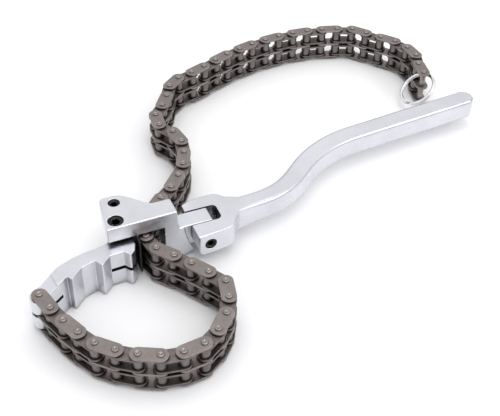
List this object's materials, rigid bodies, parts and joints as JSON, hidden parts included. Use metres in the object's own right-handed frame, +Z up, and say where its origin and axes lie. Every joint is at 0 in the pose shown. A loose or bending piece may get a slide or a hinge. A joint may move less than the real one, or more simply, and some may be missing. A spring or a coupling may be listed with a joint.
{
  "type": "oil filter wrench",
  "caption": "Chain wrench for oil filters: toothed jaw, duplex roller chain loop, hooded head, pivoting bent handle and a split ring on the free end of the chain.",
  "frame": {"origin": "on the floor, under the axis of the screw that the jaw turns on, with the tool lying on its side", "axes": "+X along the head's tongue towards the handle, +Y from the filter loop towards the free end of the chain, +Z up, along every chain pin and the jaw's screw"},
  "size_m": [0.2684, 0.2186, 0.0293],
  "materials": {
    "zinc": "satin zinc plated forging",
    "satin_steel": "satin chrome plated steel",
    "chain_outer": "oiled bare steel",
    "chain_inner": "oiled dark steel",
    "black_screw": "black oxide",
    "ring_wire": "bright nickel plated spring wire"
  },
  "bodies": {
    "head": {"head": "zinc", "jaw_pivot_screw": "black_screw", "stop_screw": "black_screw", "link_19_outer": "chain_outer"},
    "jaw": {"jaw": "zinc"},
    "handle": {"handle": "satin_steel", "handle_pivot_screw": "black_screw"},
    "link_01": {"link_01_outer": "chain_outer"},
    "link_02": {"link_02_inner": "chain_inner"},
    "link_03": {"link_03_outer": "chain_outer"},
    "link_04": {"link_04_inner": "chain_inner"},
    "link_05": {"link_05_outer": "chain_outer"},
    "link_06": {"link_06_inner": "chain_inner"},
    "link_07": {"link_07_outer": "chain_outer"},
    "link_08": {"link_08_inner": "chain_inner"},
    "link_09": {"link_09_outer": "chain_outer"},
    "link_10": {"link_10_inner": "chain_inner"},
    "link_11": {"link_11_outer": "chain_outer"},
    "link_12": {"link_12_inner": "chain_inner"},
    "link_13": {"link_13_outer": "chain_outer"},
    "link_14": {"link_14_inner": "chain_inner"},
    "link_15": {"link_15_outer": "chain_outer"},
    "link_16": {"link_16_inner": "chain_inner"},
    "link_17": {"link_17_outer": "chain_outer"},
    "link_18": {"link_18_inner": "chain_inner"},
    "link_20": {"link_20_inner": "chain_inner"},
    "link_21": {"link_21_outer": "chain_outer"},
    "link_22": {"link_22_inner": "chain_inner"},
    "link_23": {"link_23_outer": "chain_outer"},
    "link_24": {"link_24_inner": "chain_inner"},
    "link_25": {"link_25_outer": "chain_outer"},
    "link_26": {"link_26_inner": "chain_inner"},
    "link_27": {"link_27_outer": "chain_outer"},
    "link_28": {"link_28_inner": "chain_inner"},
    "link_29": {"link_29_outer": "chain_outer"},
    "link_30": {"link_30_inner": "chain_inner"},
    "link_31": {"link_31_outer": "chain_outer"},
    "link_32": {"link_32_inner": "chain_inner"},
    "link_33": {"link_33_outer": "chain_outer"},
    "link_34": {"link_34_inner": "chain_inner"},
    "link_35": {"link_35_outer": "chain_outer"},
    "link_36": {"link_36_inner": "chain_inner"},
    "link_37": {"link_37_outer": "chain_outer"},
    "link_38": {"link_38_inner": "chain_inner"},
    "link_39": {"link_39_outer": "chain_outer"},
    "link_40": {"link_40_inner": "chain_inner"},
    "link_41": {"link_41_outer": "chain_outer"},
    "link_42": {"link_42_inner": "chain_inner"},
    "link_43": {"link_43_outer": "chain_outer"},
    "link_44": {"link_44_inner": "chain_inner"},
    "link_45": {"link_45_outer": "chain_outer"},
    "link_46": {"link_46_inner": "chain_inner"},
    "link_47": {"link_47_outer": "chain_outer"},
    "link_48": {"link_48_inner": "chain_inner"},
    "link_49": {"link_49_outer": "chain_outer"},
    "link_50": {"link_50_inner": "chain_inner"},
    "link_51": {"link_51_outer": "chain_outer"},
    "link_52": {"link_52_inner": "chain_inner"},
    "link_53": {"link_53_outer": "chain_outer"},
    "ring": {"split_ring": "ring_wire"}
  },
  "joints": [
    {"name": "jaw_pivot", "type": "hinge", "parent": "head", "child": "jaw", "pos_m": [0, 0, 0.0098], "axis": [0, 0, 1], "range_deg": [-8, 8]},
    {"name": "handle_flex", "type": "hinge", "parent": "head", "child": "handle", "pos_m": [0.0416, 0, 0.0121], "axis": [0, -1, 0], "range_deg": [-30, 35]},
    {"name": "hinge_18", "type": "hinge", "parent": "head", "child": "link_18", "pos_m": [0.01238, -0.00505, 0.0106], "axis": [0, 0, 1], "range_deg": [-0.9, 0.9]},
    {"name": "hinge_17", "type": "hinge", "parent": "link_18", "child": "link_17", "pos_m": [0.01436, -0.01437, 0.0106], "axis": [0, 0, 1], "range_deg": [-1.8, 1.8]},
    {"name": "hinge_16", "type": "hinge", "parent": "link_17", "child": "link_16", "pos_m": [0.02035, -0.02177, 0.0106], "axis": [0, 0, 1], "range_deg": [-1.2, 1.2]},
    {"name": "hinge_15", "type": "hinge", "parent": "link_16", "child": "link_15", "pos_m": [0.026, -0.02944, 0.0106], "axis": [0, 0, 1], "range_deg": [-1.2, 1.2]},
    {"name": "hinge_14", "type": "hinge", "parent": "link_15", "child": "link_14", "pos_m": [0.03128, -0.03737, 0.0106], "axis": [0, 0, 1], "range_deg": [-1.5, 1.5]},
    {"name": "hinge_13", "type": "hinge", "parent": "link_14", "child": "link_13", "pos_m": [0.03618, -0.04553, 0.0106], "axis": [0, 0, 1], "range_deg": [-2.1, 2.1]},
    {"name": "hinge_12", "type": "hinge", "parent": "link_13", "child": "link_12", "pos_m": [0.03404, -0.05482, 0.0106], "axis": [0, 0, 1], "range_deg": [-2, 2]},
    {"name": "hinge_11", "type": "hinge", "parent": "link_12", "child": "link_11", "pos_m": [0.02957, -0.06323, 0.0106], "axis": [0, 0, 1], "range_deg": [-1.5, 1.5]},
    {"name": "hinge_10", "type": "hinge", "parent": "link_11", "child": "link_10", "pos_m": [0.02307, -0.07019, 0.0106], "axis": [0, 0, 1], "range_deg": [-0.9, 0.9]},
    {"name": "hinge_01", "type": "hinge", "parent": "jaw", "child": "link_01", "pos_m": [-0.0419, -0.0234, 0.0106], "axis": [0, 0, 1], "range_deg": [-4.9, 4.9]},
    {"name": "hinge_02", "type": "hinge", "parent": "link_01", "child": "link_02", "pos_m": [-0.03927, -0.03256, 0.0106], "axis": [0, 0, 1], "range_deg": [-1, 1]},
    {"name": "hinge_03", "type": "hinge", "parent": "link_02", "child": "link_03", "pos_m": [-0.03591, -0.04147, 0.0106], "axis": [0, 0, 1], "range_deg": [-1.5, 1.5]},
    {"name": "hinge_04", "type": "hinge", "parent": "link_03", "child": "link_04", "pos_m": [-0.03184, -0.05008, 0.0106], "axis": [0, 0, 1], "range_deg": [-1.8, 1.8]},
    {"name": "hinge_05", "type": "hinge", "parent": "link_04", "child": "link_05", "pos_m": [-0.02707, -0.05833, 0.0106], "axis": [0, 0, 1], "range_deg": [-1.4, 1.4]},
    {"name": "hinge_06", "type": "hinge", "parent": "link_05", "child": "link_06", "pos_m": [-0.02022, -0.06494, 0.0106], "axis": [0, 0, 1], "range_deg": [-1.8, 1.8]},
    {"name": "hinge_07", "type": "hinge", "parent": "link_06", "child": "link_07", "pos_m": [-0.01242, -0.07041, 0.0106], "axis": [0, 0, 1], "range_deg": [-3.9, 3.9]},
    {"name": "hinge_08", "type": "hinge", "parent": "link_07", "child": "link_08", "pos_m": [-0.00386, -0.07458, 0.0106], "axis": [0, 0, 1], "range_deg": [-3.4, 3.4]},
    {"name": "hinge_09", "type": "hinge", "parent": "link_08", "child": "link_09", "pos_m": [0.00552, -0.07623, 0.0106], "axis": [0, 0, 1], "range_deg": [-1.8, 1.8]},
    {"name": "hinge_20", "type": "hinge", "parent": "head", "child": "link_20", "pos_m": [0.01468, 0.00419, 0.0106], "axis": [0, 0, 1], "range_deg": [-2, 24]},
    {"name": "hinge_21", "type": "hinge", "parent": "link_20", "child": "link_21", "pos_m": [0.0208, 0.01149, 0.0106], "axis": [0, 0, -1], "range_deg": [-24, 2]},
    {"name": "hinge_22", "type": "hinge", "parent": "link_21", "child": "link_22", "pos_m": [0.02754, 0.01822, 0.0106], "axis": [0, 0, 1], "range_deg": [-2, 24]},
    {"name": "hinge_23", "type": "hinge", "parent": "link_22", "child": "link_23", "pos_m": [0.03484, 0.02434, 0.0106], "axis": [0, 0, -1], "range_deg": [-24, 2]},
    {"name": "hinge_24", "type": "hinge", "parent": "link_23", "child": "link_24", "pos_m": [0.04121, 0.03142, 0.0106], "axis": [0, 0, 1], "range_deg": [-2, 24]},
    {"name": "hinge_25", "type": "hinge", "parent": "link_24", "child": "link_25", "pos_m": [0.04654, 0.03932, 0.0106], "axis": [0, 0, -1], "range_deg": [-24, 2]},
    {"name": "hinge_26", "type": "hinge", "parent": "link_25", "child": "link_26", "pos_m": [0.05026, 0.04809, 0.0106], "axis": [0, 0, 1], "range_deg": [-2, 24]},
    {"name": "hinge_27", "type": "hinge", "parent": "link_26", "child": "link_27", "pos_m": [0.05224, 0.0574, 0.0106], "axis": [0, 0, -1], "range_deg": [-24, 2]},
    {"name": "hinge_28", "type": "hinge", "parent": "link_27", "child": "link_28", "pos_m": [0.05075, 0.06681, 0.0106], "axis": [0, 0, 1], "range_deg": [-2, 24]},
    {"name": "hinge_29", "type": "hinge", "parent": "link_28", "child": "link_29", "pos_m": [0.04598, 0.07506, 0.0106], "axis": [0, 0, -1], "range_deg": [-24, 2]},
    {"name": "hinge_30", "type": "hinge", "parent": "link_29", "child": "link_30", "pos_m": [0.0469, 0.08454, 0.0106], "axis": [0, 0, 1], "range_deg": [-2, 24]},
    {"name": "hinge_31", "type": "hinge", "parent": "link_30", "child": "link_31", "pos_m": [0.05315, 0.09173, 0.0106], "axis": [0, 0, -1], "range_deg": [-24, 2]},
    {"name": "hinge_32", "type": "hinge", "parent": "link_31", "child": "link_32", "pos_m": [0.05854, 0.09958, 0.0106], "axis": [0, 0, 1], "range_deg": [-2.5, 24]},
    {"name": "hinge_33", "type": "hinge", "parent": "link_32", "child": "link_33", "pos_m": [0.06301, 0.10799, 0.0106], "axis": [0, 0, -1], "range_deg": [-24, 2.5]},
    {"name": "hinge_34", "type": "hinge", "parent": "link_33", "child": "link_34", "pos_m": [0.07042, 0.11399, 0.0106], "axis": [0, 0, 1], "range_deg": [-2.5, 24]},
    {"name": "hinge_35", "type": "hinge", "parent": "link_34", "child": "link_35", "pos_m": [0.07957, 0.11661, 0.0106], "axis": [0, 0, -1], "range_deg": [-24, 3]},
    {"name": "hinge_36", "type": "hinge", "parent": "link_35", "child": "link_36", "pos_m": [0.08849, 0.11995, 0.0106], "axis": [0, 0, 1], "range_deg": [-3.5, 24]},
    {"name": "hinge_37", "type": "hinge", "parent": "link_36", "child": "link_37", "pos_m": [0.09713, 0.12397, 0.0106], "axis": [0, 0, -1], "range_deg": [-24, 3.5]},
    {"name": "hinge_38", "type": "hinge", "parent": "link_37", "child": "link_38", "pos_m": [0.106, 0.12744, 0.0106], "axis": [0, 0, 1], "range_deg": [-4, 24]},
    {"name": "hinge_39", "type": "hinge", "parent": "link_38", "child": "link_39", "pos_m": [0.11507, 0.13033, 0.0106], "axis": [0, 0, -1], "range_deg": [-24, 5]},
    {"name": "hinge_40", "type": "hinge", "parent": "link_39", "child": "link_40", "pos_m": [0.12432, 0.13263, 0.0106], "axis": [0, 0, 1], "range_deg": [-5.5, 24]},
    {"name": "hinge_41", "type": "hinge", "parent": "link_40", "child": "link_41", "pos_m": [0.13371, 0.13423, 0.0106], "axis": [0, 0, -1], "range_deg": [-24, 7]},
    {"name": "hinge_42", "type": "hinge", "parent": "link_41", "child": "link_42", "pos_m": [0.14319, 0.13512, 0.0106], "axis": [0, 0, 1], "range_deg": [-9, 24]},
    {"name": "hinge_43", "type": "hinge", "parent": "link_42", "child": "link_43", "pos_m": [0.15271, 0.13528, 0.0106], "axis": [0, 0, -1], "range_deg": [-24, 12]},
    {"name": "hinge_44", "type": "hinge", "parent": "link_43", "child": "link_44", "pos_m": [0.16221, 0.1345, 0.0106], "axis": [0, 0, 1], "range_deg": [-20, 24]},
    {"name": "hinge_45", "type": "hinge", "parent": "link_44", "child": "link_45", "pos_m": [0.17157, 0.13276, 0.0106], "axis": [0, 0, -1], "range_deg": [-24, 20]},
    {"name": "hinge_46", "type": "hinge", "parent": "link_45", "child": "link_46", "pos_m": [0.18072, 0.13009, 0.0106], "axis": [0, 0, 1], "range_deg": [-20, 24]},
    {"name": "hinge_47", "type": "hinge", "parent": "link_46", "child": "link_47", "pos_m": [0.18955, 0.12652, 0.0106], "axis": [0, 0, -1], "range_deg": [-24, 20]},
    {"name": "hinge_48", "type": "hinge", "parent": "link_47", "child": "link_48", "pos_m": [0.19554, 0.11912, 0.0106], "axis": [0, 0, 1], "range_deg": [-20, 24]},
    {"name": "hinge_49", "type": "hinge", "parent": "link_48", "child": "link_49", "pos_m": [0.20154, 0.11172, 0.0106], "axis": [0, 0, -1], "range_deg": [-24, 20]},
    {"name": "hinge_50", "type": "hinge", "parent": "link_49", "child": "link_50", "pos_m": [0.20753, 0.10432, 0.0106], "axis": [0, 0, 1], "range_deg": [-20, 24]},
    {"name": "hinge_51", "type": "hinge", "parent": "link_50", "child": "link_51", "pos_m": [0.21094, 0.09543, 0.0106], "axis": [0, 0, -1], "range_deg": [-24, 20]},
    {"name": "hinge_52", "type": "hinge", "parent": "link_51", "child": "link_52", "pos_m": [0.21144, 0.08591, 0.0106], "axis": [0, 0, 1], "range_deg": [-20, 24]},
    {"name": "hinge_53", "type": "hinge", "parent": "link_52", "child": "link_53", "pos_m": [0.20787, 0.07708, 0.0106], "axis": [0, 0, -1], "range_deg": [-24, 20]},
    {"name": "ring_swing", "type": "hinge", "parent": "link_53", "child": "ring", "pos_m": [0.2069, 0.0721, 0.0155], "axis": [0, 0, 1], "range_deg": [0, 40]}
  ],
  "couplings": [
    {"joint": "hinge_18", "follows": "jaw_pivot", "ratio": -0.07},
    {"joint": "hinge_17", "follows": "jaw_pivot", "ratio": 0.1782},
    {"joint": "hinge_16", "follows": "jaw_pivot", "ratio": 0.1079},
    {"joint": "hinge_15", "follows": "jaw_pivot", "ratio": 0.1037},
    {"joint": "hinge_14", "follows": "jaw_pivot", "ratio": 0.144},
    {"joint": "hinge_13", "follows": "jaw_pivot", "ratio": 0.2244},
    {"joint": "hinge_12", "follows": "jaw_pivot", "ratio": 0.2099},
    {"joint": "hinge_11", "follows": "jaw_pivot", "ratio": 0.1456},
    {"joint": "hinge_10", "follows": "jaw_pivot", "ratio": 0.07},
    {"joint": "hinge_01", "follows": "jaw_pivot", "ratio": -0.5636},
    {"joint": "hinge_02", "follows": "jaw_pivot", "ratio": -0.0825},
    {"joint": "hinge_03", "follows": "jaw_pivot", "ratio": -0.1412},
    {"joint": "hinge_04", "follows": "jaw_pivot", "ratio": -0.1809},
    {"joint": "hinge_05", "follows": "jaw_pivot", "ratio": -0.1356},
    {"joint": "hinge_06", "follows": "jaw_pivot", "ratio": 0.1777},
    {"joint": "hinge_07", "follows": "jaw_pivot", "ratio": 0.4494},
    {"joint": "hinge_08", "follows": "jaw_pivot", "ratio": 0.3752},
    {"joint": "hinge_09", "follows": "jaw_pivot", "ratio": 0.1779}
  ]
}
